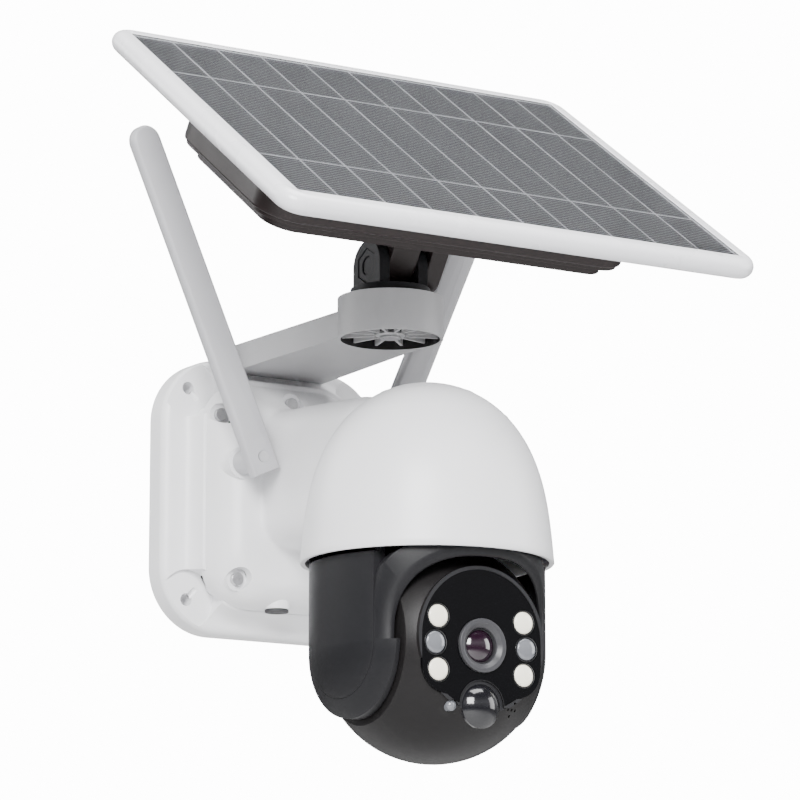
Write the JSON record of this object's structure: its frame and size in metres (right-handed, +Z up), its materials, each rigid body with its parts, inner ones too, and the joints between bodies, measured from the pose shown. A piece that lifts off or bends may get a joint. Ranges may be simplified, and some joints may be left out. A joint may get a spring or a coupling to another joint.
{
  "type": "solar security camera",
  "caption": "White wall-mounted security camera with a solar panel on a swivelling arm, a domed pan and tilt head and folding antennas.",
  "frame": {"origin": "centre of the wall flange's back face", "axes": "+Y into the wall, +Z up, +X to the right seen from the front; the camera looks along -Y"},
  "size_m": [0.23, 0.2213, 0.3138],
  "materials": {
    "white_shell": "fine satin moulding",
    "grey_shell": "fine satin moulding",
    "charcoal": "fine satin moulding",
    "button_grey": "matt rubber",
    "gloss_black": "polished",
    "box_brown": "satin moulding",
    "white_frame": "soft gloss",
    "cells": "silicon wafers under glass",
    "cover_glass": "clear",
    "lens_glass": "coated optical glass",
    "warm_lens": "diffusing",
    "clear_lens": "clear",
    "motion_dark": "polished",
    "steel": "brushed",
    "gear_plastic": "natural acetal",
    "board": "solder mask",
    "cell_wrap": "shrink wrap",
    "seal_rubber": "matt rubber"
  },
  "bodies": {
    "wall_unit": {"wall_flange": "white_shell", "rear_cover": "white_shell", "rear_seal": "seal_rubber", "front_housing": "white_shell", "housing_screws": "steel", "main_board": "board", "port_plug": "button_grey", "lead_gland": "charcoal", "solar_arm": "grey_shell", "arm_screws": "steel", "dome_cover": "white_shell", "dome_screws": "steel", "chassis_plate": "charcoal", "chassis_screws": "steel", "pan_gear": "gear_plastic", "bearing_outer_race": "steel", "bearing_balls": "steel", "antenna_knuckles": "grey_shell", "antenna_pins": "steel"},
    "button": {"power_button": "button_grey"},
    "turret": {"turret_yoke": "charcoal", "bearing_inner_race": "steel", "spindle_nut": "steel", "pan_motor": "steel", "turret_front_cover": "charcoal", "side_cap_left": "charcoal", "side_cap_right": "charcoal", "tilt_shaft": "steel"},
    "pinion": {"pan_pinion": "gear_plastic"},
    "camera_ball": {"ball_rear_shell": "charcoal", "ball_front_shell": "charcoal", "face_window": "gloss_black", "lens_ring": "charcoal", "lens_barrel": "charcoal", "lens_glass": "lens_glass", "white_led_lenses": "warm_lens", "infrared_led_lenses": "clear_lens", "led_board": "board", "sensor_board": "board", "motion_lens": "motion_dark", "motion_sensor": "steel", "light_sensor": "clear_lens", "microphone": "steel", "tilt_motor": "steel", "tilt_trunnion": "charcoal"},
    "swivel": {"swivel_clevis": "charcoal", "swivel_screw": "steel", "tilt_bolt": "steel", "tilt_nut": "steel"},
    "panel": {"panel_frame": "white_frame", "solar_cells": "cells", "panel_glass": "cover_glass", "battery_box": "box_brown", "box_lid": "box_brown", "battery_cells": "cell_wrap", "charge_board": "board", "panel_lug": "box_brown", "box_gland": "charcoal"},
    "antenna_l": {"antenna_left": "grey_shell"},
    "antenna_r": {"antenna_right": "grey_shell"}
  },
  "joints": [
    {"name": "head_pan", "type": "hinge", "parent": "wall_unit", "child": "turret", "pos_m": [0, -0.14, 0], "axis": [0, 0, 1], "range_deg": [-175, 175]},
    {"name": "pinion_spin", "type": "hinge", "parent": "turret", "child": "pinion", "pos_m": [0, -0.11, 0], "axis": [0, 0, 1], "range_deg": [-720, 720]},
    {"name": "head_tilt", "type": "hinge", "parent": "turret", "child": "camera_ball", "pos_m": [0, -0.1445, -0.082], "axis": [1, 0, 0], "range_deg": [0, 90]},
    {"name": "panel_swivel", "type": "hinge", "parent": "wall_unit", "child": "swivel", "pos_m": [0, -0.111, 0], "axis": [0, 0, 1], "range_deg": [-20, 20]},
    {"name": "panel_tilt", "type": "hinge", "parent": "swivel", "child": "panel", "pos_m": [0, -0.111, 0.086], "axis": [-1, 0, 0], "range_deg": [-30, 10]},
    {"name": "antenna_left_fold", "type": "hinge", "parent": "wall_unit", "child": "antenna_l", "pos_m": [-0.029, -0.048, 0.011], "axis": [0, -1, 0], "range_deg": [-10, 60]},
    {"name": "antenna_right_fold", "type": "hinge", "parent": "wall_unit", "child": "antenna_r", "pos_m": [0.029, -0.048, 0.011], "axis": [0, 1, 0], "range_deg": [-10, 60]},
    {"name": "power_press", "type": "slide", "parent": "wall_unit", "child": "button", "axis": [0, 0, 1], "range_m": [0, 0.0015], "stiffness_N_per_m": 300}
  ],
  "couplings": [
    {"joint": "pinion_spin", "follows": "head_pan", "ratio": 4}
  ]
}
